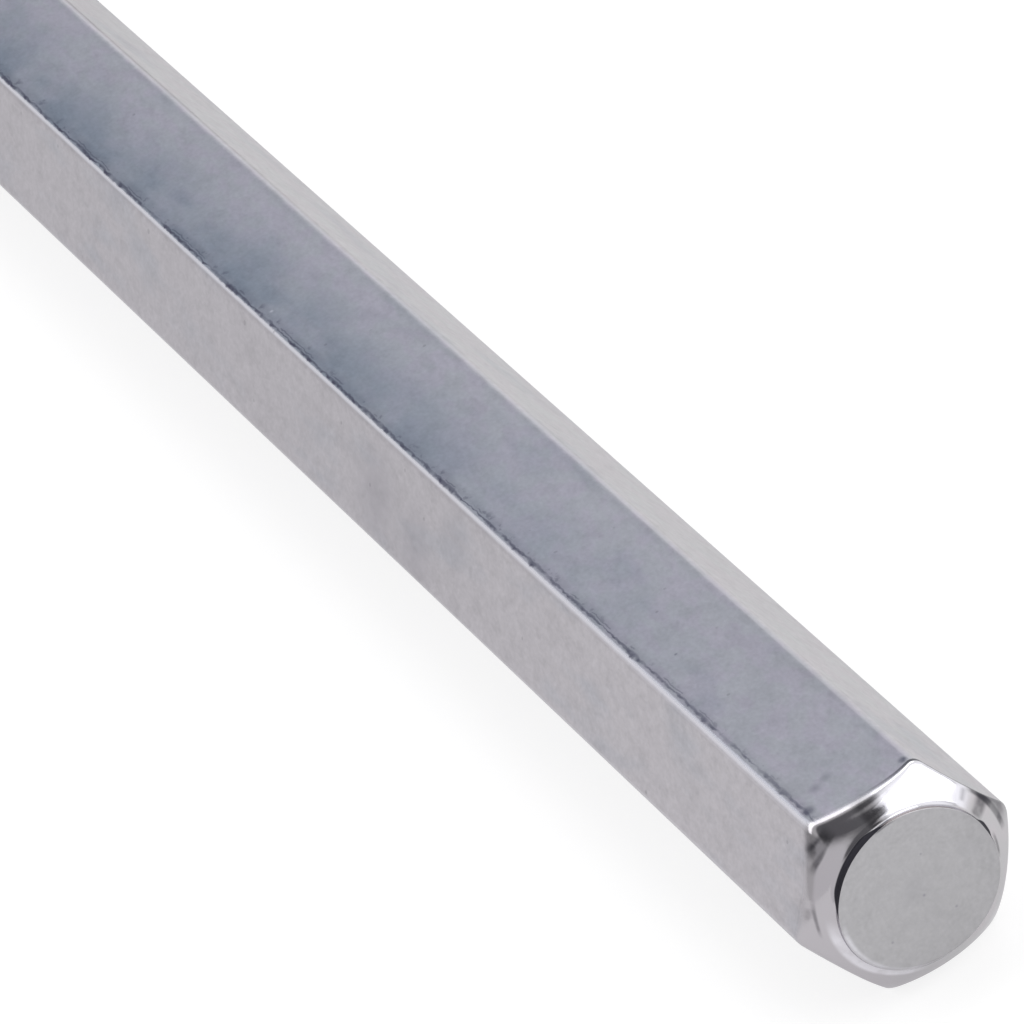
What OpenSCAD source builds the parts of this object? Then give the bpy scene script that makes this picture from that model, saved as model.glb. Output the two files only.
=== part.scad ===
// Hex key: one length of hexagonal bar with rounded corners, bent once to a right angle,
// and turned to a shouldered, polished tip at both ends.
// It lies on one flat. X runs along the long arm out of its tip, the short arm points to +Y, and Z is up.
// The origin is the centre of the long arm's end face, on the bar's centreline. Sizes are in millimetres.

/* [Bar] */
// Distance across the flats of the hexagon
across_flats = 6; // [5.5:0.1:6.4]
// Radius that rounds each of the hexagon's six corners
corner_radius = 0.4; // [0.2:0.02:0.6]

/* [Arms] */
// Overall length of the long arm, from its end face to the outside of the short arm
long_arm = 96; // [60:1:220]
// Overall length of the short arm, from its end face to the outside of the long arm
short_arm = 38; // [28:1:80]
// Radius of the bend, measured to the bar's centreline
bend_radius = 9; // [7:0.5:13]

/* [Tip] */
// Diameter of the flat disc left in the middle of each end face
disc_diameter = 4.9; // [3.6:0.1:5]
// Height that the disc stands proud of the cove around it
disc_step = 0.12; // [0.02:0.01:0.2]
// Radius of the cove turned around the disc
cove_radius = 0.25; // [0.1:0.05:0.3]
// Angle between the turned cone and the bar's axis
cone_angle = 58; // [50:1:62]
// Distance from the axis at which the cone starts to round over towards the corners
shoulder_start = 2.7; // [2.66:0.02:2.9]
// Radius of the shoulder that rounds the cone over towards the corners
shoulder_radius = 3.3; // [3:0.1:5]

/* [Hidden] */
$fn = 96;

steel = "silver";
corners = 6;
corner_step = 360 / corners;
half_step = corner_step / 2;

// From the centreline to a flat, to the centre of a corner's rounding, and to the tip of a rounded corner
apothem = across_flats / 2;
corner_centre = (apothem - corner_radius) / cos(half_step);
corner_reach = corner_centre + corner_radius;

// Straight part of each arm, between its end face and the bend
long_straight = long_arm - corner_reach - bend_radius;
short_straight = short_arm - corner_reach - bend_radius;

// Tip profile, as [distance from the axis, distance along the axis], with the end face at 0 and the bar below it
disc_radius = disc_diameter / 2;
cove_centre = [disc_radius + cove_radius, -disc_step];
cove_end = cove_centre + cove_radius * [-cos(cone_angle), -sin(cone_angle)];
cone_end = [shoulder_start, cove_end[1] - (shoulder_start - cove_end[0]) / tan(cone_angle)];
shoulder_centre = cone_end - shoulder_radius * [cos(cone_angle), sin(cone_angle)];
shoulder_side = shoulder_centre[0] + shoulder_radius;

function polar(radius, angle) = radius * [cos(angle), sin(angle)];

// Section of the bar, with two of its corners on the X axis and two of its flats square to Y
module bar_section() {
    union() {
        polygon([
            for (i = [0:corners - 1], side = [-half_step, half_step])
                polar(corner_centre, i * corner_step) + polar(corner_radius, i * corner_step + side)
        ]);
        for (i = [0:corners - 1])
            translate(polar(corner_centre, i * corner_step))
                circle(r = corner_radius);
    }
}

// Half outline that the tip is turned to: flat disc, cove, cone and shoulder
module turned_outline(length) {
    difference() {
        union() {
            polygon([
                [0, 0],
                [disc_radius, 0],
                [disc_radius, -disc_step],
                cove_end,
                cone_end,
                [shoulder_side, shoulder_centre[1]],
                [shoulder_side, -length],
                [0, -length]
            ]);
            translate(shoulder_centre)
                circle(r = shoulder_radius);
        }
        translate(cove_centre)
            circle(r = cove_radius);
        // The shoulder's circle counts only on the outer side of the axis
        translate([-2 * shoulder_radius, -length])
            square([2 * shoulder_radius, 2 * length]);
    }
}

// Straight arm along X with its tip at the origin and two flats level, reaching back over the given length
module arm(length) {
    rotate([0, 90, 0])
        intersection() {
            translate([0, 0, -length])
                linear_extrude(length)
                    rotate(90)
                        bar_section();
            rotate_extrude()
                turned_outline(length + shoulder_radius);
        }
}

// Quarter turn of the same bar, with its axis of bending at the origin
module bend() {
    rotate(180)
        rotate_extrude(angle = 90)
            translate([bend_radius, 0])
                bar_section();
}

module hex_key() {
    color(steel)
        union() {
            arm(long_straight);
            translate([-long_straight, bend_radius, 0])
                bend();
            translate([-long_straight - bend_radius, bend_radius + short_straight, 0])
                rotate(90)
                    arm(short_straight);
        }
}

hex_key();
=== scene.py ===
"""Looks of the hex key: bright plated hexagonal bar with turned, polished tips, lying on a pale studio floor.

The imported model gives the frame. The bar is swept along its centreline by a node tree, and each tip is
turned onto the open end of that sweep, so that the whole key is one closed skin.
"""

import logging
import math
from dataclasses import dataclass
from enum import Enum

import bmesh
import bpy
from mathutils import Matrix, Vector


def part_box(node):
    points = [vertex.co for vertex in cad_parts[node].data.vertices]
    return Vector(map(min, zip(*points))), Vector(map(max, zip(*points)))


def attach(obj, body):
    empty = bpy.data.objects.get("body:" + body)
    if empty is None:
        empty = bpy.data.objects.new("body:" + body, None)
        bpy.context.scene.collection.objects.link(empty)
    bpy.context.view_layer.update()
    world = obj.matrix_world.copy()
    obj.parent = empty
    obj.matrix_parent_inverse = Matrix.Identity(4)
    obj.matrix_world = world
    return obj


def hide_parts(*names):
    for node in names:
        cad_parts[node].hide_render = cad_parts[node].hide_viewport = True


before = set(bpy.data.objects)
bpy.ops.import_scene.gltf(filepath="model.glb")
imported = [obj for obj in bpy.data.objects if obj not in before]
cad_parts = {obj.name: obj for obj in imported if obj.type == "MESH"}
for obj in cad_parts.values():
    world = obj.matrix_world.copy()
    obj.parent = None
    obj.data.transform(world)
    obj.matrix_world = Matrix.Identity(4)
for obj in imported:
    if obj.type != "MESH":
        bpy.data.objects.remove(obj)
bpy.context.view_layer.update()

LOG = logging.getLogger("hex_key")
MM = 0.001
NODE = "hex_key"
BODY = "root"
CORNERS = 6
HALF_CORNER = math.pi / CORNERS
MERGE_WITHIN = 0.0005 * MM

Socket = bpy.types.NodeSocket
Colour = tuple[float, float, float]
Point = tuple[float, float, float]
# The two ends of a range, or where a step starts and where it is full
Span = tuple[float, float]
# What a mask or noise of 0 gives, and how much one of 1 adds to that
Line = tuple[float, float]


class Mark(Enum):
    """Attributes that the skin carries for its finish, each under its own name."""

    PLACE = "bar_place"
    ACROSS = "across"
    POLISHED = "polished"
    END_DISC = "end_disc"
    GROOVE = "groove"
    EDGE = "edge"


NUMBER_MARKS = tuple(mark for mark in Mark if mark is not Mark.PLACE)


class NodeSketch:
    """Adds nodes to a tree, sets their inputs and links them."""

    def __init__(self, tree: bpy.types.NodeTree) -> None:
        """Keeps the tree to draw in."""
        self.tree = tree

    @classmethod
    def blank(cls, owner: bpy.types.Material | bpy.types.World) -> "NodeSketch":
        """Clears the tree of a material or world to draw in.

        Args:
            owner: The material or world.

        Returns:
            The sketch, with its tree empty.
        """
        owner.use_nodes = True
        owner.node_tree.nodes.clear()
        return cls(owner.node_tree)

    def add(self, kind: str, *values: object, **settings: object) -> bpy.types.Node:
        """Adds one node.

        Args:
            kind: The node's type name.
            values: What goes into its inputs, in order: a socket to link, a value, or None to leave one.
            settings: Properties of the node, and `inputs`, which holds what goes into inputs by their labels.

        Returns:
            The new node.
        """
        named = settings.pop("inputs", {})
        node = self.tree.nodes.new(kind)
        for key, value in settings.items():
            setattr(node, key, value)
        for index, value in enumerate(values):
            self.feed(node.inputs[index], value)
        for key, value in named.items():
            self.feed(node.inputs[key], value)
        return node

    def feed(self, socket: Socket, value: object) -> None:
        """Links a socket into an input, or sets its value, where a colour gets its full cover.

        Args:
            socket: The input.
            value: A socket to link, a plain value, or None to leave the input alone.
        """
        if isinstance(value, Socket):
            self.tree.links.new(value, socket)
        elif value is not None:
            socket.default_value = (*value, 1.0) if socket.type == "RGBA" else value

    def math(self, operation: str, *values: object, clamp: bool = False) -> Socket:
        """Adds a Math node on numbers or sockets, kept between 0 and 1 if clamped, and gives its result."""
        return self.add("ShaderNodeMath", *values, operation=operation, use_clamp=clamp).outputs[0]

    def times(self, *values: object, clamp: bool = False) -> Socket:
        """Multiplies two or more numbers with one another.

        Args:
            values: The numbers or sockets.
            clamp: Whether the product stays between 0 and 1.

        Returns:
            The product's socket.
        """
        product, *others, last = values
        for value in others:
            product = self.math("MULTIPLY", product, value)
        return self.math("MULTIPLY", product, last, clamp=clamp)

    def line(self, value: Socket, line: Line) -> Socket:
        """Adds the number that a line gives for a mask or noise: its base, and its rise times that."""
        base, rise = line
        return self.math("MULTIPLY_ADD", value, rise, base)

    def ramp(self, value: Socket, low: object, high: object) -> Socket:
        """Adds a smooth step from 0 at low to 1 at high, which may lie below low, for a falling step."""
        node = self.add("ShaderNodeMapRange", value, low, high, 0.0, 1.0, interpolation_type="SMOOTHSTEP")
        return node.outputs[0]

    def span(self, value: Socket, ends: Span, fade: float) -> Socket:
        """Adds a mask that is 1 between two values.

        Args:
            value: The socket that is read.
            ends: Where the mask is halfway up and halfway down.
            fade: How far each end is spread.

        Returns:
            The mask's socket.
        """
        low, high = ends
        rise = self.ramp(value, low - fade / 2, low + fade / 2)
        return self.times(rise, self.ramp(value, high + fade / 2, high - fade / 2))

    def change(self, value: object, factor: Socket, target: float) -> Socket:
        """Moves a number towards a target by a factor from 0 to 1."""
        inputs = {"Factor": factor, "A": value, "B": target}
        return self.add("ShaderNodeMix", data_type="FLOAT", inputs=inputs).outputs["Result"]

    def blend(self, factor: Socket, first: object, second: object) -> Socket:
        """Mixes two colours, with the factor as the share of the second."""
        inputs = {"Factor": factor, "A": first, "B": second}
        return self.add("ShaderNodeMix", data_type="RGBA", inputs=inputs).outputs["Result"]


@dataclass(frozen=True)
class KeySizes:
    """Overall sizes of the key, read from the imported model, and the radius of its bend."""

    across_flats: float
    long_arm: float
    short_arm: float
    corner_reach: float
    bend_radius: float = 9.0 * MM

    @classmethod
    def from_frame(cls) -> "KeySizes":
        """Reads the sizes off the node's box, whose origin is the centre of the long arm's end face."""
        low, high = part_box(NODE)
        return cls(high.z - low.z, high.x - low.x, high.y - low.y, -low.y)

    @property
    def apothem(self) -> float:
        """Distance from the centreline to a flat."""
        return self.across_flats / 2

    @property
    def corner_radius(self) -> float:
        """Rounding of the hexagon's corners, from how far a rounded corner reaches."""
        sharp = self.apothem / math.cos(HALF_CORNER)
        return (sharp - self.corner_reach) / (1 / math.cos(HALF_CORNER) - 1)

    @property
    def elbow(self) -> Vector:
        """Where the centrelines of the two arms would cross."""
        return Vector((-(self.long_arm - self.corner_reach), 0.0, 0.0))

    @property
    def short_end(self) -> Vector:
        """Centre of the short arm's end face."""
        return self.elbow + Vector((0.0, self.short_arm - self.corner_reach, 0.0))

    @property
    def bend_centre(self) -> Vector:
        """Point that the bend turns about."""
        return self.elbow + Vector((self.bend_radius, self.bend_radius, 0.0))

    def bar_place(self, point: Vector) -> Vector:
        """Finds where a point lies along and across the bar, as if the bar were straight.

        Args:
            point: A point on the key.

        Returns:
            Distance along the centreline from the long tip, distance towards the inside of the bend,
            and height, all in millimetres.
        """
        centre = self.bend_centre
        start = -centre.x
        if point.x >= centre.x:
            place = Vector((-point.x, point.y, point.z))
        elif point.y >= centre.y:
            along = start + self.bend_radius * math.pi / 2 + point.y - centre.y
            place = Vector((along, point.x - self.elbow.x, point.z))
        else:
            spoke = point - centre
            turn = math.atan2(-spoke.x, -spoke.y)
            inward = self.bend_radius - math.hypot(spoke.x, spoke.y)
            place = Vector((start + self.bend_radius * turn, inward, point.z))
        return place / MM

    def across(self, place: Vector) -> float:
        """Distance of a place on the bar from the middle of its flat, in the place's units."""
        angle = math.atan2(place.z, place.y) % (2 * HALF_CORNER)
        return math.hypot(place.y, place.z) * abs(math.sin(angle - HALF_CORNER))


@dataclass(frozen=True)
class TipRow:
    """One point of a tip's outline, with the marks that the skin gets there."""

    radius: float
    depth: float
    marks: dict[Mark, float]


@dataclass(frozen=True)
class TurnedTip:
    """Outline that a tip is turned to, with depth counted from the end face back along the bar.

    The disc's rim has its most wear in the direction of rim_turn, and the edge between the cone and the bar's
    sides in that of edge_turn; the higher wear_power, the narrower both. The marks of that edge change
    over the last of its rows, the faster the higher mark_rate.
    """

    disc_radius: float = 2.45 * MM
    disc_step: float = 0.12 * MM
    rim_round: float = 0.02 * MM
    rim_wear: float = 0.16 * MM
    rim_turn: float = math.radians(-70)
    rim_groove: float = 0.9
    cove_radius: float = 0.25 * MM
    cove_groove: float = 0.75
    cone_angle: float = math.radians(58)
    shoulder_start: float = 2.7 * MM
    shoulder_radius: float = 3.3 * MM
    edge_round: float = 0.12 * MM
    edge_wear: float = 1.3 * MM
    edge_turn: float = math.radians(45)
    edge_room: float = 0.9
    mark_rate: float = 3.0
    wear_power: float = 1.5
    fade: float = 0.07 * MM
    length: float = 2.4 * MM
    rim_rows: int = 5
    cove_rows: int = 8
    cone_rows: int = 8
    edge_rows: int = 8
    disc_rings: tuple[float, ...] = (0.2, 0.5, 0.8, 0.99)

    @property
    def cove_end(self) -> tuple[float, float]:
        """Radius and depth at which the cove runs into the cone."""
        radius = self.disc_radius + self.cove_radius * (1 - math.cos(self.cone_angle))
        return radius, self.disc_step + self.cove_radius * math.sin(self.cone_angle)

    def depth(self, radius: float) -> float:
        """Depth of the cone or shoulder at a radius.

        Args:
            radius: Distance from the axis, at or beyond the cove's end.

        Returns:
            The depth behind the end face.
        """
        start_radius, start_depth = self.cove_end
        cone = start_depth + (min(radius, self.shoulder_start) - start_radius) / math.tan(self.cone_angle)
        if radius <= self.shoulder_start:
            return cone
        fall = math.sqrt(self.shoulder_radius**2 - self.off_centre(radius) ** 2)
        return cone + self.shoulder_radius * math.sin(self.cone_angle) - fall

    def slope(self, radius: float) -> float:
        """Angle between the turned surface and the axis at a radius.

        Args:
            radius: Distance from the axis, at or beyond the cove's end.

        Returns:
            The angle, in radians.
        """
        if radius <= self.shoulder_start:
            return self.cone_angle
        return math.acos(self.off_centre(radius) / self.shoulder_radius)

    def off_centre(self, radius: float) -> float:
        """How far a radius lies beyond the centre of the shoulder's arc."""
        return radius - self.shoulder_start + self.shoulder_radius * math.cos(self.cone_angle)

    def wear(self, turn: float, worst: float) -> float:
        """Share of the full wear in a direction, when it is worst in another."""
        return max(0.0, math.cos(turn - worst)) ** self.wear_power

    def rows(self, side: float, turn: float) -> list[TipRow]:
        """Rows of the tip in one direction, from the disc out to the bar's side.

        Args:
            side: Distance from the axis to the bar's side in this direction.
            turn: The direction's angle about the bar, 0 towards the outside of the bend.

        Returns:
            The rows, in order.
        """
        wear = self.wear(turn, self.rim_turn)
        rounding = self.rim_round + self.rim_wear * wear
        flat = self.disc_radius - rounding
        rows = [TipRow(flat * share, 0.0, {Mark.END_DISC: 1.0}) for share in self.disc_rings]
        fall = min(rounding, self.disc_step)
        for i in range(self.rim_rows + 1):
            share = i / self.rim_rows
            angle = share * math.pi / 2
            marks = {Mark.END_DISC: 1.0 - share, Mark.GROOVE: share * self.rim_groove}
            place = (flat + rounding * math.sin(angle), fall * (1 - math.cos(angle)))
            rows.append(TipRow(*self.bevelled(place, flat, wear), marks))
        for i in range(self.cove_rows + 1):
            share = i / self.cove_rows
            angle = share * self.cone_angle
            radius = self.disc_radius + self.cove_radius * (1 - math.cos(angle))
            place = (radius, self.disc_step + self.cove_radius * math.sin(angle))
            marks = {Mark.POLISHED: 1.0, Mark.GROOVE: self.cove_groove * (1 - share)}
            rows.append(TipRow(*self.bevelled(place, flat, wear), marks))
        return rows + self.edge_run(side, turn)

    def bevelled(self, place: tuple[float, float], flat: float, wear: float) -> tuple[float, float]:
        """Moves a point of the rim or cove towards the straight bevel that wear leaves there.

        Args:
            place: The point's radius and depth.
            flat: Radius at which the flat disc ends.
            wear: How much wear the rim has, from 0 to 1.

        Returns:
            The new radius and depth.
        """
        end_radius, end_depth = self.cove_end
        radius, depth = place
        share = (radius - flat) / (end_radius - flat)
        return radius, depth + (end_depth * share - depth) * wear

    def edge_run(self, side: float, turn: float) -> list[TipRow]:
        """Rows from the cone over the edge, rounded by wear, onto the bar's side.

        Args:
            side: Distance from the axis to the bar's side.
            turn: The direction's angle about the bar.

        Returns:
            The rows, in order.
        """
        rounding = self.edge_round + self.edge_wear * self.wear(turn, self.edge_turn)
        cove_radius = self.cove_end[0]
        room = self.edge_room * (side - cove_radius)
        start = side - min(room, rounding * (1 - math.cos(self.slope(side))))
        rows = []
        for i in range(1, self.cone_rows + 1):
            radius = cove_radius + (start - cove_radius) * i / self.cone_rows
            rows.append(TipRow(radius, self.depth(radius), {Mark.POLISHED: 1.0}))
        steep = self.slope(start)
        arc = (side - start) / (1 - math.cos(steep))
        for i in range(1, self.edge_rows + 1):
            share = i / self.edge_rows
            angle = steep * (1 - share)
            radius = start + arc * (math.cos(angle) - math.cos(steep))
            depth = self.depth(start) + arc * (math.sin(steep) - math.sin(angle))
            left = self.mark_rate * (1 - share)
            marks = {Mark.POLISHED: min(1.0, left), Mark.EDGE: max(0.0, 1.0 - left)}
            rows.append(TipRow(radius, depth, marks))
        rows.append(TipRow(side, rows[-1].depth + self.fade, {}))
        return rows


@dataclass
class SweptBar:
    """The bar between its tips: a rounded hexagon carried along the bent centreline."""

    sizes: KeySizes
    tip_length: float
    corner_points: int = 8
    flat_cuts: int = 17
    bend_points: int = 28

    def tree(self, material: bpy.types.Material) -> tuple[bpy.types.NodeTree, dict[str, str]]:
        """Builds the node tree that sweeps the bar.

        Args:
            material: What the bar is made of.

        Returns:
            The tree, and the identifier of each named input.
        """
        tree = bpy.data.node_groups.new("swept_bar", "GeometryNodeTree")
        inputs = {
            "Across Flats": "NodeSocketFloat",
            "Corner Radius": "NodeSocketFloat",
            "Bend Radius": "NodeSocketFloat",
            "Start": "NodeSocketVector",
            "Elbow": "NodeSocketVector",
            "End": "NodeSocketVector",
        }
        ids = {
            name: tree.interface.new_socket(name=name, in_out="INPUT", socket_type=kind).identifier
            for name, kind in inputs.items()
        }
        tree.interface.new_socket(name="Bar", in_out="OUTPUT", socket_type="NodeSocketGeometry")
        sketch = NodeSketch(tree)
        sizes = sketch.add("NodeGroupInput").outputs
        centreline = self.centreline(sketch, sizes)
        section = self.section(sketch, sizes)
        swept = sketch.add("GeometryNodeCurveToMesh", inputs={"Curve": centreline, "Profile Curve": section})
        smooth = sketch.add("GeometryNodeSetShadeSmooth", swept.outputs[0])
        real = sketch.add("GeometryNodeRealizeInstances", smooth.outputs[0])
        dressed = sketch.add("GeometryNodeSetMaterial", real.outputs[0], inputs={"Material": material})
        sketch.add("NodeGroupOutput", dressed.outputs[0])
        return tree, ids

    def centreline(self, sketch: NodeSketch, sizes: bpy.types.bpy_prop_collection) -> Socket:
        """Draws the centreline: two straight runs with a round bend between them.

        Args:
            sketch: The tree to draw in.
            sizes: The tree's named inputs.

        Returns:
            The curve's socket.
        """
        points = ("Start", "Elbow", "End")
        line = sketch.add("GeometryNodeMeshLine", len(points), mode="OFFSET", count_mode="TOTAL").outputs[0]
        index = sketch.add("GeometryNodeInputIndex").outputs[0]
        place = None
        for number, name in enumerate(points):
            here = sketch.add(
                "FunctionNodeCompare", data_type="INT", operation="EQUAL", inputs={"A": index, "B": number}
            ).outputs[0]
            inputs = {"Switch": here, "False": place, "True": sizes[name]}
            place = sketch.add("GeometryNodeSwitch", input_type="VECTOR", inputs=inputs).outputs[0]
        placed = sketch.add("GeometryNodeSetPosition", line, inputs={"Position": place})
        curve = sketch.add("GeometryNodeMeshToCurve", placed.outputs[0]).outputs[0]
        return self.rounded(sketch, curve, self.bend_points, sizes["Bend Radius"])

    @staticmethod
    def rounded(sketch: NodeSketch, curve: Socket, points: int, radius: Socket) -> Socket:
        """Rounds the corners of a curve to a radius, with this many points on each arc."""
        inputs = {"Count": points, "Radius": radius}
        return sketch.add("GeometryNodeFilletCurve", curve, mode="POLY", inputs=inputs).outputs[0]

    def section(self, sketch: NodeSketch, sizes: bpy.types.bpy_prop_collection) -> Socket:
        """Draws the section: a hexagon with rounded corners, and with its flats cut into short runs.

        Args:
            sketch: The tree to draw in.
            sizes: The tree's named inputs.

        Returns:
            The curve's socket.
        """
        sharp = sketch.math("DIVIDE", sizes["Across Flats"], 2 * math.cos(HALF_CORNER))
        inputs = {"Resolution": CORNERS, "Radius": sharp}
        hexagon = sketch.add("GeometryNodeCurvePrimitiveCircle", inputs=inputs).outputs[0]
        rounded = self.rounded(sketch, hexagon, self.corner_points, sizes["Corner Radius"])
        index = sketch.add("GeometryNodeInputIndex").outputs[0]
        step = sketch.math("MODULO", index, self.corner_points + 1)
        tolerance = 0.5
        on_flat = sketch.math("COMPARE", step, self.corner_points, tolerance)
        cuts = sketch.times(on_flat, self.flat_cuts)
        return sketch.add("GeometryNodeSubdivideCurve", rounded, inputs={"Cuts": cuts}).outputs[0]

    def build(self, material: bpy.types.Material) -> bpy.types.Object:
        """Sweeps the bar and turns the result into a plain mesh, open at both ends.

        Args:
            material: What the bar is made of.

        Returns:
            The bar's object, at the origin.
        """
        tree, ids = self.tree(material)
        holder = bpy.data.objects.new("bar_holder", bpy.data.meshes.new("bar_holder"))
        bpy.context.scene.collection.objects.link(holder)
        modifier = holder.modifiers.new("sweep", "NODES")
        modifier.node_group = tree
        along_short = (self.sizes.short_end - self.sizes.elbow).normalized()
        values = {
            "Across Flats": self.sizes.across_flats,
            "Corner Radius": self.sizes.corner_radius,
            "Bend Radius": self.sizes.bend_radius,
            "Start": Vector((-self.tip_length, 0.0, 0.0)),
            "Elbow": self.sizes.elbow,
            "End": self.sizes.short_end - along_short * self.tip_length,
        }
        for name, value in values.items():
            modifier[ids[name]] = value
        holder.update_tag()
        depsgraph = bpy.context.evaluated_depsgraph_get()
        mesh = bpy.data.meshes.new_from_object(holder.evaluated_get(depsgraph), depsgraph=depsgraph)
        bpy.data.objects.remove(holder)
        mesh.name = "key_body"
        body = bpy.data.objects.new("key_body", mesh)
        bpy.context.scene.collection.objects.link(body)
        return body


@dataclass
class KeyBody:
    """The whole key: the swept bar, closed at both ends by its turned tips."""

    sizes: KeySizes
    tip: TurnedTip = TurnedTip()

    def build(self, material: bpy.types.Material) -> bpy.types.Object:
        """Makes the closed skin of the key.

        Args:
            material: What the key is made of.

        Returns:
            The key's object.
        """
        body = SweptBar(self.sizes, self.tip.length).build(material)
        skin = bmesh.new()
        skin.from_mesh(body.data)
        bmesh.ops.remove_doubles(skin, verts=skin.verts, dist=MERGE_WITHIN)
        marks = {mark: skin.verts.layers.float.new(mark.value) for mark in NUMBER_MARKS}
        for rim in self.open_rims(skin):
            self.turn_tip(skin, rim, marks)
        place_layer = skin.verts.layers.float_vector.new(Mark.PLACE.value)
        for vert in skin.verts:
            place = self.sizes.bar_place(vert.co)
            vert[place_layer] = place
            vert[marks[Mark.ACROSS]] = self.sizes.across(place)
        bmesh.ops.recalc_face_normals(skin, faces=skin.faces)
        for face in skin.faces:
            face.smooth = True
        skin.to_mesh(body.data)
        skin.free()
        return body

    def open_rims(self, skin: bmesh.types.BMesh) -> list[list[bmesh.types.BMVert]]:
        """Follows each open rim of the swept bar round.

        Args:
            skin: The bar's mesh.

        Returns:
            The vertices of each rim, in order.
        """
        edges = {e for e in skin.edges if e.is_boundary}
        rims = []
        while edges:
            edge = min(edges, key=lambda e: e.index)
            start, vert = edge.verts
            rim = [start]
            while True:
                edges.discard(edge)
                if vert is start:
                    break
                rim.append(vert)
                edge = next(e for e in vert.link_edges if e in edges)
                vert = edge.other_vert(vert)
            rims.append(rim)
        return rims

    def turn_tip(
        self,
        skin: bmesh.types.BMesh,
        rim: list[bmesh.types.BMVert],
        marks: dict[Mark, bmesh.types.BMLayerItem],
    ) -> None:
        """Closes one end of the bar with its turned tip.

        Args:
            skin: The bar's mesh, which gets the new faces.
            rim: The open rim, in order.
            marks: The vertex layer of each mark.
        """
        centre = sum((v.co for v in rim), Vector()) / len(rim)
        spokes = [v.co - centre for v in rim]
        outward = spokes[0].cross(spokes[len(rim) // 4]).normalized()
        if outward.dot(centre - self.sizes.elbow) < 0:
            outward.negate()
        face_centre = centre + outward * self.tip.length
        hub = skin.verts.new(face_centre)
        hub[marks[Mark.END_DISC]] = 1.0
        grid = []
        for vert, spoke in zip(rim, spokes):
            place = self.sizes.bar_place(vert.co)
            column = []
            for row in self.tip.rows(spoke.length, math.atan2(place.z, -place.y)):
                new = skin.verts.new(face_centre + spoke.normalized() * row.radius - outward * row.depth)
                for mark, value in row.marks.items():
                    new[marks[mark]] = value
                column.append(new)
            grid.append(column)
        for i, here in enumerate(grid):
            after = (i + 1) % len(grid)
            there = grid[after]
            skin.faces.new((hub, here[0], there[0]))
            for k in range(len(here) - 1):
                skin.faces.new((here[k], here[k + 1], there[k + 1], there[k]))
            skin.faces.new((here[-1], rim[i], rim[after], there[-1]))


@dataclass(frozen=True)
class Speckle:
    """Noise that follows the bar, with its features per millimetre along, across and up, and its octaves."""

    scale: Point
    detail: float

    def read(self, sketch: NodeSketch, place: Socket) -> Socket:
        """Adds the noise.

        Args:
            sketch: The tree to draw in.
            place: Place along and across the bar, in millimetres.

        Returns:
            The noise's socket.
        """
        scaled = sketch.add("ShaderNodeVectorMath", place, self.scale, operation="MULTIPLY").outputs[0]
        inputs = {"Vector": scaled, "Scale": 1.0, "Detail": self.detail}
        return sketch.add("ShaderNodeTexNoise", inputs=inputs).outputs[0]


@dataclass(frozen=True)
class Skin:
    """What the finish reads off the key: places in millimetres, the marks, and masks and noises in common.

    turn is the angle about the bar, in degrees from the flat on top towards the outside of the bend, and
    reach the distance from the centreline.
    """

    sketch: NodeSketch
    place: Socket
    along: Socket
    inward: Socket
    height: Socket
    turn: Socket
    reach: Socket
    marks: dict[Mark, Socket]
    off_tip: Socket
    drawn: Socket
    top: Socket
    mottle: Socket
    grain: Socket
    fine: Socket

    @classmethod
    def read(cls, sketch: NodeSketch) -> "Skin":
        """Reads the skin's attributes in a tree.

        Args:
            sketch: The tree to draw in.

        Returns:
            The reading.
        """
        top_height = (2.9, 2.985)
        mottle = Speckle((0.7, 1.1, 1.1), 3.0)
        grain = Speckle((2.6, 3.6, 3.6), 3.0)
        fine = Speckle((6.0, 8.0, 8.0), 2.0)
        place = sketch.add("ShaderNodeAttribute", attribute_name=Mark.PLACE.value).outputs["Vector"]
        marks = {
            mark: sketch.add("ShaderNodeAttribute", attribute_name=mark.value).outputs["Fac"]
            for mark in NUMBER_MARKS
        }
        along, inward, height = sketch.add("ShaderNodeSeparateXYZ", place).outputs
        outward = sketch.times(inward, -1.0)
        spoke = sketch.add("ShaderNodeCombineXYZ", 0.0, inward, height).outputs[0]
        off_tip = sketch.math("SUBTRACT", 1.0, marks[Mark.POLISHED], clamp=True)
        return cls(
            sketch=sketch,
            place=place,
            along=along,
            inward=inward,
            height=height,
            turn=sketch.math("DEGREES", sketch.math("ARCTAN2", outward, height)),
            reach=sketch.add("ShaderNodeVectorMath", spoke, operation="LENGTH").outputs["Value"],
            marks=marks,
            off_tip=off_tip,
            drawn=sketch.math("SUBTRACT", off_tip, marks[Mark.END_DISC], clamp=True),
            top=sketch.ramp(height, *top_height),
            mottle=mottle.read(sketch, place),
            grain=grain.read(sketch, place),
            fine=fine.read(sketch, place),
        )

    def patches(self, speckle: Speckle, step: Span) -> Socket:
        """Adds a mask of patches, by where in a speckle's noise a patch starts and where it is full."""
        return self.sketch.ramp(speckle.read(self.sketch, self.place), *step)


@dataclass(frozen=True)
class Blemish:
    """One small mark, with its place along and across the bar in millimetres."""

    place: Point
    radius: float
    strength: float
    bright: bool = False
    roughening: Line = (0.2, 1.6)

    def mask(self, skin: Skin) -> Socket:
        """Adds the mark's mask, roughened by the fine noise.

        Args:
            skin: The skin that is read.

        Returns:
            The mask's socket.
        """
        sketch = skin.sketch
        away = sketch.add("ShaderNodeVectorMath", skin.place, self.place, operation="DISTANCE")
        spot = sketch.ramp(away.outputs["Value"], self.radius, 0.0)
        return sketch.times(spot, self.strength, sketch.line(skin.fine, self.roughening), clamp=True)


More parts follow.
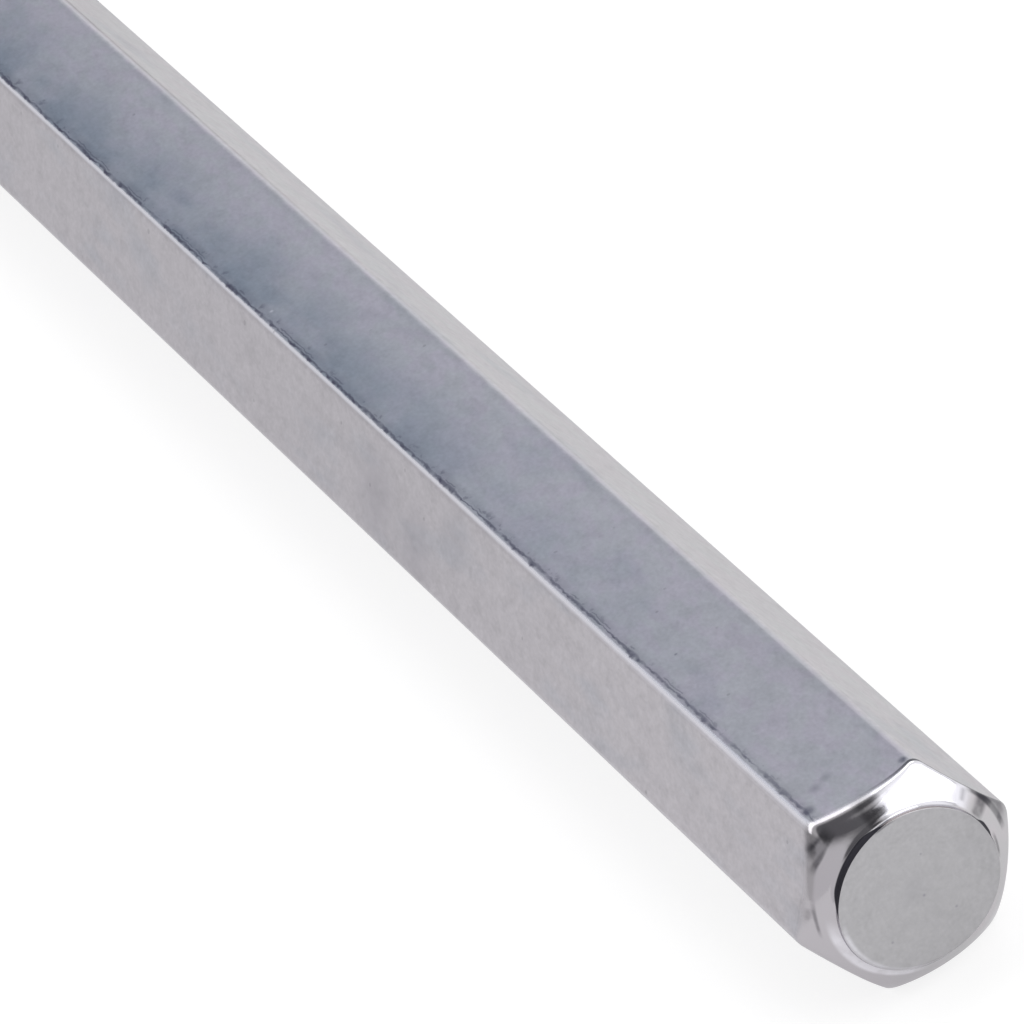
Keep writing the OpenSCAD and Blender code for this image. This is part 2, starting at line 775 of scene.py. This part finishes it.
@dataclass(frozen=True)
class TipReflection:
    """A painted reflection on a tip, dark or bright, between two turns about the bar and two reaches from its
    middle.
    """

    turns: Span
    reaches: Span
    strength: float
    fade: float = 8.0
    blur: float = 0.06
    bright: bool = False

    def mask(self, skin: Skin, hold: Socket) -> Socket:
        """Adds the painted reflection's mask.

        Args:
            skin: The skin that is read.
            hold: Where and how evenly the painted reflections cover.

        Returns:
            The mask's socket.
        """
        sketch = skin.sketch
        around = sketch.span(skin.turn, self.turns, self.fade)
        outward = sketch.span(skin.reach, self.reaches, self.blur)
        return sketch.times(around, outward, self.strength, hold, clamp=True)


@dataclass(frozen=True)
class EdgeScar:
    """The long scratch along the outer side of the top flat, with its bruise; sizes in millimetres."""

    distance: float = 1.31
    drift: float = 0.11
    drift_along: Span = (4.0, 32.0)
    wander: float = 0.14
    wander_speckle: Speckle = Speckle((1.1, 0.0, 0.0), 5.0)
    jitter: float = 0.16
    jitter_speckle: Speckle = Speckle((3.4, 3.4, 3.4), 3.0)
    weight_speckle: Speckle = Speckle((0.45, 0.0, 0.0), 4.0)
    weight_patches: Span = (0.3, 0.7)
    half_width: Line = (0.02, 0.1)
    fine_width: Line = (0.3, 1.6)
    core_step: Span = (0.0, 0.8)
    core_strength: Line = (0.1, 1.5)
    gap_speckle: Speckle = Speckle((0.8, 0.3, 0.3), 4.0)
    gap_patches: Span = (0.34, 0.46)
    gap_strength: Line = (0.5, 0.5)
    second_shift: float = -0.1
    second_width: float = 0.05
    second_patches: Span = (0.48, 0.58)
    second_strength: float = 0.7
    bruise_distance: float = 1.42
    bruise_width: float = 0.26
    haze_strength: Line = (0.03, 0.3)
    speck_patches: Span = (0.58, 0.68)
    speck_strength: float = 0.4
    far_along: Span = (0.0, 30.0)
    strength: Line = (0.68, 0.24)

    def mask(self, skin: Skin) -> Socket:
        """Adds the scratch's mask.

        Args:
            skin: The skin that is read.

        Returns:
            The mask's socket.
        """
        sketch = skin.sketch
        weight = skin.patches(self.weight_speckle, self.weight_patches)
        gaps = self.gap_speckle.read(sketch, skin.place)
        jitter = self.jitter_speckle.read(sketch, skin.place)
        wander = self.wander_speckle.read(sketch, skin.place)
        middle = sketch.line(sketch.ramp(skin.along, *self.drift_along), (self.distance, self.drift))
        middle = sketch.math("MULTIPLY_ADD", wander, self.wander, middle)
        middle = sketch.math("MULTIPLY_ADD", jitter, self.jitter, middle)
        width = sketch.times(sketch.line(weight, self.half_width), sketch.line(skin.fine, self.fine_width))
        away = sketch.math("ABSOLUTE", sketch.math("ADD", skin.inward, middle))
        core = sketch.math("SUBTRACT", 1.0, sketch.math("DIVIDE", away, width), clamp=True)
        core = sketch.ramp(core, *self.core_step)
        whole = sketch.line(sketch.ramp(gaps, *self.gap_patches), self.gap_strength)
        core = sketch.times(core, sketch.line(jitter, self.core_strength), whole)
        second = sketch.math("ADD", skin.inward, sketch.math("ADD", middle, self.second_shift))
        second = sketch.ramp(sketch.math("ABSOLUTE", second), self.second_width, 0.0)
        second = sketch.times(second, sketch.ramp(gaps, *self.second_patches), self.second_strength)
        mask = sketch.math("MAXIMUM", core, second)
        bruise = sketch.math("ABSOLUTE", sketch.math("ADD", skin.inward, self.bruise_distance))
        bruise = sketch.ramp(bruise, self.bruise_width, 0.0)
        haze = sketch.times(bruise, sketch.line(gaps, self.haze_strength))
        specks = sketch.times(bruise, sketch.ramp(jitter, *self.speck_patches))
        mask = sketch.math("MAXIMUM", mask, sketch.math("MULTIPLY_ADD", specks, self.speck_strength, haze))
        strength = sketch.line(sketch.ramp(skin.along, *self.far_along), self.strength)
        mask = sketch.times(mask, strength, clamp=True)
        return sketch.times(mask, skin.top, skin.off_tip)


@dataclass(frozen=True)
class CoveDirtAndShade:
    """Deposits and painted shade in the cove around the disc, with the angles in degrees from the flat on
    top.

    The lower its level at an angle, the further the dark fill climbs out of the cove: near black as painted
    shade, and rusty in the thin part above.
    """

    level: float = 0.86
    outer_turns: Span = (8.0, 66.0)
    outer_fade: float = 24.0
    outer_drop: float = 0.6
    inner_turns: Span = (-94.0, -72.0)
    inner_fade: float = 16.0
    inner_drop: float = 0.84
    upper_turns: Span = (-48.0, 0.0)
    upper_fade: float = 10.0
    upper_drop: float = 0.17
    dirty_turns: Span = (-104.0, 76.0)
    dirty_fade: float = 10.0
    clean_rise: float = 0.1
    least: float = 0.01
    softness: float = 0.12
    cover: float = 0.96
    upper_thinning: float = 0.5

    def upper(self, skin: Skin) -> Socket:
        """Adds the mask of the thin rusty part above."""
        return skin.sketch.span(skin.turn, self.upper_turns, self.upper_fade)

    def mask(self, skin: Skin, upper: Socket) -> Socket:
        """Adds the mask of the deposits and painted shade.

        Args:
            skin: The skin that is read.
            upper: Mask of the thin rusty part above.

        Returns:
            The mask's socket.
        """
        sketch = skin.sketch
        outer = sketch.span(skin.turn, self.outer_turns, self.outer_fade)
        inner = sketch.span(skin.turn, self.inner_turns, self.inner_fade)
        dirty = sketch.span(skin.turn, self.dirty_turns, self.dirty_fade)
        level = sketch.line(outer, (self.level, -self.outer_drop))
        level = sketch.math("MULTIPLY_ADD", upper, -self.upper_drop, level)
        level = sketch.math("MULTIPLY_ADD", inner, -self.inner_drop, level)
        level = sketch.math("ADD", level, sketch.line(dirty, (self.clean_rise, -self.clean_rise)))
        level = sketch.math("MAXIMUM", level, self.least)
        filled = sketch.ramp(sketch.math("SUBTRACT", skin.marks[Mark.GROOVE], level), 0.0, self.softness)
        return sketch.times(filled, sketch.line(upper, (self.cover, -self.upper_thinning)))


@dataclass(frozen=True)
class BrightPlating:
    """Bright plated steel: satin on the drawn flats, polished where it was turned, with wear and smudges from
    use, and painted shade, highlights and reflections.

    A Span is a smooth step, from where it starts to where it is full: in millimetres for a place along or
    across the bar, and in the noise's own measure for patches.
    """

    base: Colour = (0.495, 0.49, 0.50)
    warm: Colour = (0.515, 0.49, 0.51)
    warm_patches: Span = (0.35, 0.65)
    # The next four: painted shade, the outer side darker, and darker still further from the long tip
    dusky: Colour = (0.44, 0.42, 0.445)
    outer_far_shade: Colour = (0.41, 0.392, 0.417)
    outer_side: Span = (1.0, -2.4)
    outer_far_shade_along: Span = (10.0, 30.0)
    # cool and lilac: painted reflection, a cooler tint that only the top flat gets
    cool: Colour = (0.489, 0.487, 0.518)
    lilac: Colour = (0.502, 0.478, 0.531)
    lilac_speckle: Speckle = Speckle((0.9, 1.6, 1.6), 3.0)
    lilac_patches: Span = (0.42, 0.6)
    # slate: a dark tone, for the painted reflection along the top flat's outer edge and for random clouds
    slate: Colour = (0.28, 0.315, 0.37)
    band_across: Span = (1.3, -1.5)
    band_along: Span = (0.0, 40.0)
    band_speckle: Speckle = Speckle((0.3, 0.55, 0.55), 5.0)
    band_patches: Span = (0.38, 0.62)
    band_strength: Line = (0.55, 0.45)
    cloud_speckle: Speckle = Speckle((0.2, 0.6, 0.6), 3.0)
    cloud_patches: Span = (0.52, 0.7)
    cloud_strength: float = 0.25
    grey: Colour = (0.34, 0.345, 0.355)
    brim_across: Span = (1.3, 1.5)
    brim_along: Span = (0.5, 6.0)
    brim_strength: float = 0.15
    disc: Colour = (0.414, 0.408, 0.422)
    grain_shade: Line = (0.785, 0.26)
    fine_shade: float = 0.25
    # The next four: painted shade, the top flat darker near the long tip and lighter further on, and the
    # inner side darker
    top_along: Span = (2.0, 26.0)
    top_shade: Line = (-0.03, 0.09)
    inner_side: Span = (1.7, 2.1)
    inner_shade: float = -0.06
    smudge_speckle: Speckle = Speckle((1.3, 1.9, 1.9), 3.0)
    smudge_patches: Span = (0.5, 0.66)
    smudge_shade: float = -0.06
    disc_evenness: float = 0.25
    # Pale tone of bare rubbed metal, also used for painted highlights: along the outer top corner and on the
    # tips
    worn_and_highlight: Colour = (0.84, 0.83, 0.89)
    # The next seven: where the bright corner line lies, partly wear, partly painted highlight
    wear_highlight_across: Span = (-1.3, -1.45)
    wear_highlight_height: Span = (2.9, 2.98)
    wear_highlight_strength: Line = (0.15, 0.85)
    wear_highlight_from_far: float = 1.595
    wear_highlight_from_near: float = 1.53
    wear_highlight_along: Span = (30.0, 2.0)
    wear_highlight_fade: float = 0.05
    # Near black: pits, and painted shade and dark painted reflections in the coves, along the tips' edges and
    # on the tips
    grime_and_shade: Colour = (0.02, 0.02, 0.028)
    pit_share: float = 0.25
    dot_strength: float = 0.22
    rust: Colour = (0.22, 0.15, 0.13)
    violet: Colour = (0.1, 0.1, 0.145)
    # The next three: how patchily the painted reflections on the tips cover
    reflection_speckle: Speckle = Speckle((1.6, 2.2, 2.2), 3.0)
    reflection_patches: Span = (0.35, 0.6)
    reflection_hold: Line = (0.7, 0.4)
    # The next three: painted shade, a dark line along the edge where each tip meets the bar's sides,
    # strongest on the inner side
    rim_across: Span = (-0.6, 2.2)
    rim_mark: Span = (0.0, 0.5)
    rim_strength: Line = (0.06, 0.8)
    edge_tint: Colour = (0.84, 0.84, 0.85)
    flat_roughness: Line = (0.29, 0.08)
    worn_roughness: float = 0.26
    polished_roughness: float = 0.12
    disc_roughness: float = 0.4
    cove_roughness: float = 0.55
    relief_depth: float = 0.0045 * MM
    grain_relief: float = 0.25
    mottle_relief: float = 0.75
    dot_relief: float = 2.0
    scar: EdgeScar = EdgeScar()
    # deposits and painted shade in the coves
    cove_dirt_and_shade: CoveDirtAndShade = CoveDirtAndShade()
    blemishes: tuple[Blemish, ...] = (
        Blemish((0.0, 0.05, -0.21), 0.08, 0.3),
        Blemish((0.0, 0.72, -1.12), 0.07, 0.35),
        Blemish((0.0, -1.32, -0.94), 0.07, 0.35),
        Blemish((0.0, 0.47, 1.0), 0.06, 0.3),
        Blemish((0.0, -0.1, 0.1), 0.75, 0.06),
        Blemish((0.0, 1.7, 0.3), 0.5, 0.05),
        Blemish((1.3, 1.47, 3.0), 0.2, 0.85),
        Blemish((2.6, -0.35, 3.0), 0.26, 0.3),
        Blemish((2.45, -0.8, 3.0), 0.28, 0.3),
        Blemish((1.75, -1.4, 3.0), 0.3, 0.75),
        Blemish((11.43, -0.65, 3.0), 0.08, 0.6),
        Blemish((38.5, -1.27, 3.0), 0.1, 0.5, bright=True),
        Blemish((26.6, -3.0, 0.8), 1.9, 0.16),
        Blemish((29.4, -2.75, 1.2), 2.2, 0.17),
        Blemish((24.0, -2.3, 2.1), 1.5, 0.1),
    )
    # Painted reflections on the tips, dark and bright, in place of the surround's reflections in the turned
    # metal
    tip_reflections: tuple[TipReflection, ...] = (
        TipReflection((-50.0, -1.0), (2.465, 2.62), 1.0, fade=6.0, blur=0.03, bright=True),
        TipReflection((-61.0, -49.0), (2.5, 3.3), 0.8, fade=10.0, bright=True),
        TipReflection((-52.0, -2.0), (2.46, 3.4), 1.1, fade=8.0, bright=True),
        TipReflection((84.0, 160.0), (2.31, 2.7), 0.45, fade=20.0, blur=0.12, bright=True),
        TipReflection((-4.5, 9.0), (2.4, 3.2), 0.5, fade=5.0),
        TipReflection((27.0, 43.0), (2.95, 3.22), 0.7, blur=0.09),
        TipReflection((38.0, 49.0), (2.93, 3.02), 0.72),
        TipReflection((31.5, 42.0), (3.15, 3.5), 0.5, fade=2.5),
        TipReflection((67.0, 85.0), (2.86, 2.93), 0.5, fade=10.0),
        TipReflection((-93.0, -61.0), (2.93, 3.1), 0.72, blur=0.08),
        TipReflection((-75.0, -67.0), (2.5, 3.1), 0.6, fade=5.0, blur=0.12),
        TipReflection((-90.0, -60.0), (3.05, 3.4), 0.55, fade=12.0, blur=0.2),
        TipReflection((-58.5, -55.5), (2.65, 2.95), 0.35, fade=4.0, blur=0.1),
        TipReflection((-106.0, -93.0), (2.56, 2.65), 0.6, fade=10.0),
    )

    def flats(self, skin: Skin) -> Socket:
        """Adds the tones of the flats and of the disc, with painted shade and reflections on the flats.

        Args:
            skin: The skin that is read.

        Returns:
            The colour's socket.
        """
        sketch = skin.sketch
        colour = sketch.blend(sketch.ramp(skin.mottle, *self.warm_patches), self.base, self.warm)
        # painted shade: the outer side darker, darker still further from the long tip
        outer_tone = sketch.blend(sketch.ramp(skin.along, *self.outer_far_shade_along), self.dusky, self.outer_far_shade)
        colour = sketch.blend(sketch.ramp(skin.inward, *self.outer_side), colour, outer_tone)
        # painted reflection: the top flat, off the tips, gets the cooler tint
        tint = sketch.blend(skin.patches(self.lilac_speckle, self.lilac_patches), self.cool, self.lilac)
        colour = sketch.blend(sketch.times(skin.top, skin.off_tip), colour, tint)
        # painted reflection: a dark band along the outer edge of the top flat, growing away from the long tip
        band = sketch.times(
            sketch.ramp(skin.inward, *self.band_across),
            skin.top,
            sketch.ramp(skin.along, *self.band_along),
            sketch.line(skin.patches(self.band_speckle, self.band_patches), self.band_strength),
        )
        colour = sketch.blend(band, colour, self.slate)
        cloud = skin.patches(self.cloud_speckle, self.cloud_patches)
        cloud = sketch.times(cloud, self.cloud_strength, skin.drawn)
        colour = sketch.blend(cloud, colour, self.slate)
        brim = sketch.times(
            sketch.ramp(skin.inward, *self.brim_across),
            skin.top,
            self.brim_strength,
            sketch.ramp(skin.along, *self.brim_along),
        )
        colour = sketch.blend(brim, colour, self.grey)
        return sketch.blend(skin.marks[Mark.END_DISC], colour, self.disc)

    def shading(self, skin: Skin) -> Socket:
        """Adds the factor by which the tones vary from place to place, with painted shade on the top flat and
        the inner side.

        Args:
            skin: The skin that is read.

        Returns:
            The factor's socket.
        """
        sketch = skin.sketch
        shade = sketch.line(skin.grain, self.grain_shade)
        shade = sketch.math("MULTIPLY_ADD", skin.fine, self.fine_shade, shade)
        # painted shade: the top flat darker near the long tip, lighter further on
        rise = sketch.line(sketch.ramp(skin.along, *self.top_along), self.top_shade)
        shade = sketch.math("MULTIPLY_ADD", skin.top, rise, shade)
        # painted shade: the inner side darker
        inner = sketch.ramp(skin.inward, *self.inner_side)
        shade = sketch.math("MULTIPLY_ADD", inner, self.inner_shade, shade)
        smudge = skin.patches(self.smudge_speckle, self.smudge_patches)
        shade = sketch.math("MULTIPLY_ADD", smudge, self.smudge_shade, shade)
        evened = sketch.times(skin.marks[Mark.END_DISC], self.disc_evenness)
        return sketch.change(sketch.change(shade, evened, 1.0), skin.marks[Mark.POLISHED], 1.0)

    def corner_wear_and_highlight(self, skin: Skin) -> Socket:
        """Adds the mask of the bright line along the bar's corners, strongest on the outer upper one: partly
        wear, partly painted highlight.

        Args:
            skin: The skin that is read.

        Returns:
            The mask's socket.
        """
        sketch = skin.sketch
        outer = sketch.ramp(skin.inward, *self.wear_highlight_across)
        outer = sketch.times(outer, sketch.ramp(skin.height, *self.wear_highlight_height))
        nearness = sketch.ramp(skin.along, *self.wear_highlight_along)
        start = sketch.change(self.wear_highlight_from_far, nearness, self.wear_highlight_from_near)
        start = sketch.math("MULTIPLY_ADD", skin.fine, self.wear_highlight_fade, start)
        corner = sketch.ramp(skin.marks[Mark.ACROSS], start, sketch.math("ADD", start, self.wear_highlight_fade))
        return sketch.times(corner, sketch.line(outer, self.wear_highlight_strength), skin.drawn)

    def dots(self, skin: Skin) -> Socket:
        """Adds the mask of the small pits scattered over the bar.

        Args:
            skin: The skin that is read.

        Returns:
            The mask's socket.
        """
        sketch = skin.sketch
        pits = self.pits(skin, density=0.4, size=0.045)
        fine_pits = self.pits(skin, density=1.3, size=0.1)
        off_disc = sketch.math("SUBTRACT", 1.0, skin.marks[Mark.END_DISC])
        return sketch.times(sketch.math("MAXIMUM", pits, fine_pits), self.dot_strength, off_disc)

    def pits(self, skin: Skin, density: float, size: float) -> Socket:
        """Adds scattered pits.

        Args:
            skin: The skin that is read.
            density: Cells per millimetre, of which some have a pit.
            size: Radius of a pit, as a share of its cell.

        Returns:
            The socket of a mask that is 1 in a pit.
        """
        sketch = skin.sketch
        cells = sketch.add("ShaderNodeTexVoronoi", inputs={"Vector": skin.place, "Scale": density})
        draw = sketch.add("ShaderNodeSeparateXYZ", cells.outputs["Color"]).outputs[0]
        chosen = sketch.math("GREATER_THAN", draw, 1 - self.pit_share)
        return sketch.times(sketch.ramp(cells.outputs["Distance"], size, size / 2), chosen)

    def marked(self, skin: Skin, colour: Socket) -> Socket:
        """Puts the blemishes on the bar, and on the tips the painted reflections and a painted shade line
        along their edge.

        Args:
            skin: The skin that is read.
            colour: The colour so far.

        Returns:
            The new colour's socket.
        """
        sketch = skin.sketch
        for blemish in self.blemishes:
            tone = self.worn_and_highlight if blemish.bright else self.violet
            colour = sketch.blend(blemish.mask(skin), colour, tone)
        # painted reflections on the tips, dark and bright
        hold = sketch.line(skin.patches(self.reflection_speckle, self.reflection_patches), self.reflection_hold)
        hold = sketch.times(hold, sketch.math("SUBTRACT", 1.0, skin.drawn))
        for tip_reflection in self.tip_reflections:
            tone = self.worn_and_highlight if tip_reflection.bright else self.grime_and_shade
            colour = sketch.blend(tip_reflection.mask(skin, hold), colour, tone)
        # painted shade: a dark line along the edge where each tip meets the sides
        rim = sketch.line(sketch.ramp(skin.inward, *self.rim_across), self.rim_strength)
        rim = sketch.times(sketch.ramp(skin.marks[Mark.EDGE], *self.rim_mark), rim)
        return sketch.blend(rim, colour, self.grime_and_shade)

    def roughness(self, skin: Skin, corner: Socket, dirt_and_shade: Socket) -> Socket:
        """Adds the roughness of each part of the skin.

        Args:
            skin: The skin that is read.
            corner: Mask of the bright corner line, partly wear, partly painted highlight.
            dirt_and_shade: Mask of the deposits and painted shade in the coves.

        Returns:
            The roughness's socket.
        """
        sketch = skin.sketch
        rough = sketch.line(skin.mottle, self.flat_roughness)
        rough = sketch.change(rough, corner, self.worn_roughness)
        rough = sketch.change(rough, skin.marks[Mark.POLISHED], self.polished_roughness)
        rough = sketch.change(rough, skin.marks[Mark.END_DISC], self.disc_roughness)
        return sketch.change(rough, dirt_and_shade, self.cove_roughness)

    def relief(self, skin: Skin, dots: Socket) -> Socket:
        """Adds the fine unevenness of the skin.

        Args:
            skin: The skin that is read.
            dots: Mask of the pits.

        Returns:
            The socket of the uneven surface's direction.
        """
        sketch = skin.sketch
        height = sketch.times(skin.grain, self.grain_relief)
        height = sketch.math("MULTIPLY_ADD", skin.mottle, self.mottle_relief, height)
        height = sketch.math("MULTIPLY_ADD", dots, -self.dot_relief, height)
        inputs = {"Strength": 1.0, "Distance": self.relief_depth, "Height": height}
        return sketch.add("ShaderNodeBump", inputs=inputs).outputs[0]

    def material(self) -> bpy.types.Material:
        """Builds the plating's material.

        Returns:
            The material.
        """
        material = bpy.data.materials.new("bright_plating")
        sketch = NodeSketch.blank(material)
        skin = Skin.read(sketch)
        shade = self.shading(skin)
        colour = sketch.add(
            "ShaderNodeVectorMath", self.flats(skin), operation="SCALE", inputs={"Scale": shade}
        ).outputs[0]
        corner = self.corner_wear_and_highlight(skin)
        dots = self.dots(skin)
        # painted shade in the coves, near black, with real rusty deposits in the thin part above
        upper = self.cove_dirt_and_shade.upper(skin)
        dirt_and_shade = self.cove_dirt_and_shade.mask(skin, upper)
        soil_and_shade = sketch.blend(upper, self.grime_and_shade, self.rust)
        # partly wear, partly painted highlight along the bar's corners
        colour = sketch.blend(corner, colour, self.worn_and_highlight)
        colour = sketch.blend(self.scar.mask(skin), colour, self.violet)
        colour = sketch.blend(dots, colour, self.grime_and_shade)
        colour = self.marked(skin, colour)
        colour = sketch.blend(dirt_and_shade, colour, soil_and_shade)
        shader = sketch.add(
            "ShaderNodeBsdfPrincipled",
            inputs={
                "Base Color": colour,
                "Metallic": 1.0,
                "Roughness": self.roughness(skin, corner, dirt_and_shade),
                "Normal": self.relief(skin, dots),
                "Specular Tint": self.edge_tint,
            },
        )
        sketch.add("ShaderNodeOutputMaterial", shader.outputs[0])
        return material


@dataclass(frozen=True)
class PhotoCamera:
    """The photograph's view, in units of the distance across the flats, from the long arm's end face."""

    sizes: KeySizes
    place: Point = (33.718, -7.599, 25.015)
    right: Point = (0.41675, 0.82351, -0.38489)
    down: Point = (0.38203, -0.54288, -0.74789)
    focal_pixels: float = 9474.5
    image_pixels: float = 1024.0
    sensor: float = 36.0
    clip: Span = (0.01, 20.0)

    def build(self) -> None:
        """Makes the camera and hands it to the scene."""
        data = bpy.data.cameras.new("photo_camera")
        data.sensor_width = self.sensor
        data.lens = self.focal_pixels / self.image_pixels * self.sensor
        data.clip_start, data.clip_end = self.clip
        camera = bpy.data.objects.new("photo_camera", data)
        right = Vector(self.right).normalized()
        up = -Vector(self.down)
        up = (up - right * up.dot(right)).normalized()
        turn = Matrix((right, up, right.cross(up))).transposed()
        camera.matrix_world = Matrix.Translation(Vector(self.place) * self.sizes.across_flats) @ turn.to_4x4()
        bpy.context.scene.collection.objects.link(camera)
        bpy.context.scene.camera = camera


@dataclass(frozen=True)
class SoftLamp:
    """One soft rectangular lamp that faces the long arm's tip, with its sizes in metres."""

    name: str
    toward: Point
    width_along: Point
    width: float
    height: float
    distance: float
    radiance: float

    def build(self) -> None:
        """Hangs the lamp."""
        data = bpy.data.lights.new(self.name, "AREA")
        data.shape = "RECTANGLE"
        data.size = self.width
        data.size_y = self.height
        data.energy = self.radiance * math.pi * self.width * self.height
        lamp = bpy.data.objects.new(self.name, data)
        out = Vector(self.toward).normalized()
        side = Vector(self.width_along)
        side = (side - out * side.dot(out)).normalized()
        turn = Matrix((side, out.cross(side), out)).transposed()
        lamp.matrix_world = Matrix.Translation(out * self.distance) @ turn.to_4x4()
        bpy.context.scene.collection.objects.link(lamp)


@dataclass(frozen=True)
class SkyPatch:
    """A round patch of the surround, full up to core and gone at reach, in degrees from its middle."""

    toward: Point
    core: float
    reach: float
    tone: Colour


@dataclass(frozen=True)
class Studio:
    """Pale floor, soft lamps and a pale surround with darker corners, as in a small photo studio."""

    floor_height: float
    floor_side: float = 6.0
    floor_albedo: float = 0.36
    floor_lift: float = 0.735
    sky: Colour = (0.72, 0.72, 0.72)
    lamps: tuple[SoftLamp, ...] = (
        SoftLamp("lamp_overhead", (-0.48, -0.08, 0.873), (-0.873, 0.0, -0.48), 0.234, 1.7, 0.7, 1.74),
        SoftLamp("lamp_right", (0.61, 0.627, 0.485), (-0.717, 0.697, 0.0), 0.625, 0.776, 0.7, 1.1),
    )
    patches: tuple[SkyPatch, ...] = (
        SkyPatch((-0.85, 0.2, 0.5), 12.0, 34.0, (0.5, 0.53, 0.585)),
        SkyPatch((-0.85, 0.51, 0.139), 8.0, 22.0, (1.05, 1.05, 1.06)),
        SkyPatch((-0.84, -0.525, 0.14), 12.0, 26.0, (0.92, 0.92, 0.93)),
        SkyPatch((0.45, -0.88, 0.12), 20.0, 38.0, (0.92, 0.92, 0.93)),
        SkyPatch((0.8, -0.55, 0.15), 16.0, 30.0, (0.92, 0.92, 0.93)),
        SkyPatch((0.468, -0.041, 0.883), 34.0, 43.0, (0.17, 0.17, 0.18)),
        SkyPatch((0.0, 0.438, 0.899), 14.0, 21.0, (1.0, 1.0, 1.0)),
        SkyPatch((-0.15, 0.853, 0.5), 16.0, 30.0, (1.0, 1.0, 1.0)),
        SkyPatch((0.349, 0.314, 0.883), 10.0, 19.0, (1.15, 1.15, 1.15)),
    )

    def floor(self) -> None:
        """Lays the floor, a diffuse sheet that is also lifted to the photo's white where it is seen."""
        half = self.floor_side / 2
        corners = [(-half, -half), (half, -half), (half, half), (-half, half)]
        mesh = bpy.data.meshes.new("studio_floor")
        mesh.from_pydata([(x, y, self.floor_height) for x, y in corners], [], [(0, 1, 2, 3)])
        material = bpy.data.materials.new("floor_paper")
        sketch = NodeSketch.blank(material)
        paper = sketch.add("ShaderNodeBsdfDiffuse", (self.floor_albedo,) * 3)
        path = sketch.add("ShaderNodeLightPath").outputs
        seen = sketch.math("MAXIMUM", path["Is Camera Ray"], path["Is Glossy Ray"])
        seen = sketch.math("MAXIMUM", seen, path["Is Transmission Ray"])
        glow = sketch.times(seen, self.floor_lift)
        lift = sketch.add("ShaderNodeEmission", (1.0, 1.0, 1.0), glow)
        both = sketch.add("ShaderNodeAddShader", paper.outputs[0], lift.outputs[0])
        sketch.add("ShaderNodeOutputMaterial", both.outputs[0])
        mesh.materials.append(material)
        floor = bpy.data.objects.new("studio_floor", mesh)
        bpy.context.scene.collection.objects.link(floor)

    def surround(self) -> None:
        """Paints the surround: one pale tone with soft darker and cooler patches."""
        world = bpy.data.worlds.new("studio_surround")
        bpy.context.scene.world = world
        sketch = NodeSketch.blank(world)
        direction = sketch.add("ShaderNodeTexCoord").outputs["Generated"]
        colour = self.sky
        for patch in self.patches:
            toward = Vector(patch.toward).normalized()
            lined_up = sketch.add(
                "ShaderNodeVectorMath", direction, tuple(toward), operation="DOT_PRODUCT"
            ).outputs["Value"]
            edge, core = (math.cos(math.radians(angle)) for angle in (patch.reach, patch.core))
            colour = sketch.blend(sketch.ramp(lined_up, edge, core), colour, patch.tone)
        sky = sketch.add("ShaderNodeBackground", colour)
        sketch.add("ShaderNodeOutputWorld", sky.outputs[0])

    def build(self) -> None:
        """Lays the floor, hangs the lamps and paints the surround."""
        self.floor()
        for lamp in self.lamps:
            lamp.build()
        self.surround()


def main() -> None:
    """Builds the key, its stage and its camera, in order."""
    logging.basicConfig(level=logging.INFO, format="%(name)s: %(message)s")
    sizes = KeySizes.from_frame()
    key = KeyBody(sizes).build(BrightPlating().material())
    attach(key, BODY)
    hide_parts(NODE)
    LOG.info("%s: %d faces on %s", key.name, len(key.data.polygons), BODY)
    PhotoCamera(sizes).build()
    Studio(floor_height=-sizes.apothem).build()
    bpy.context.scene.view_settings.view_transform = "Standard"


if __name__ == "__main__":
    main()
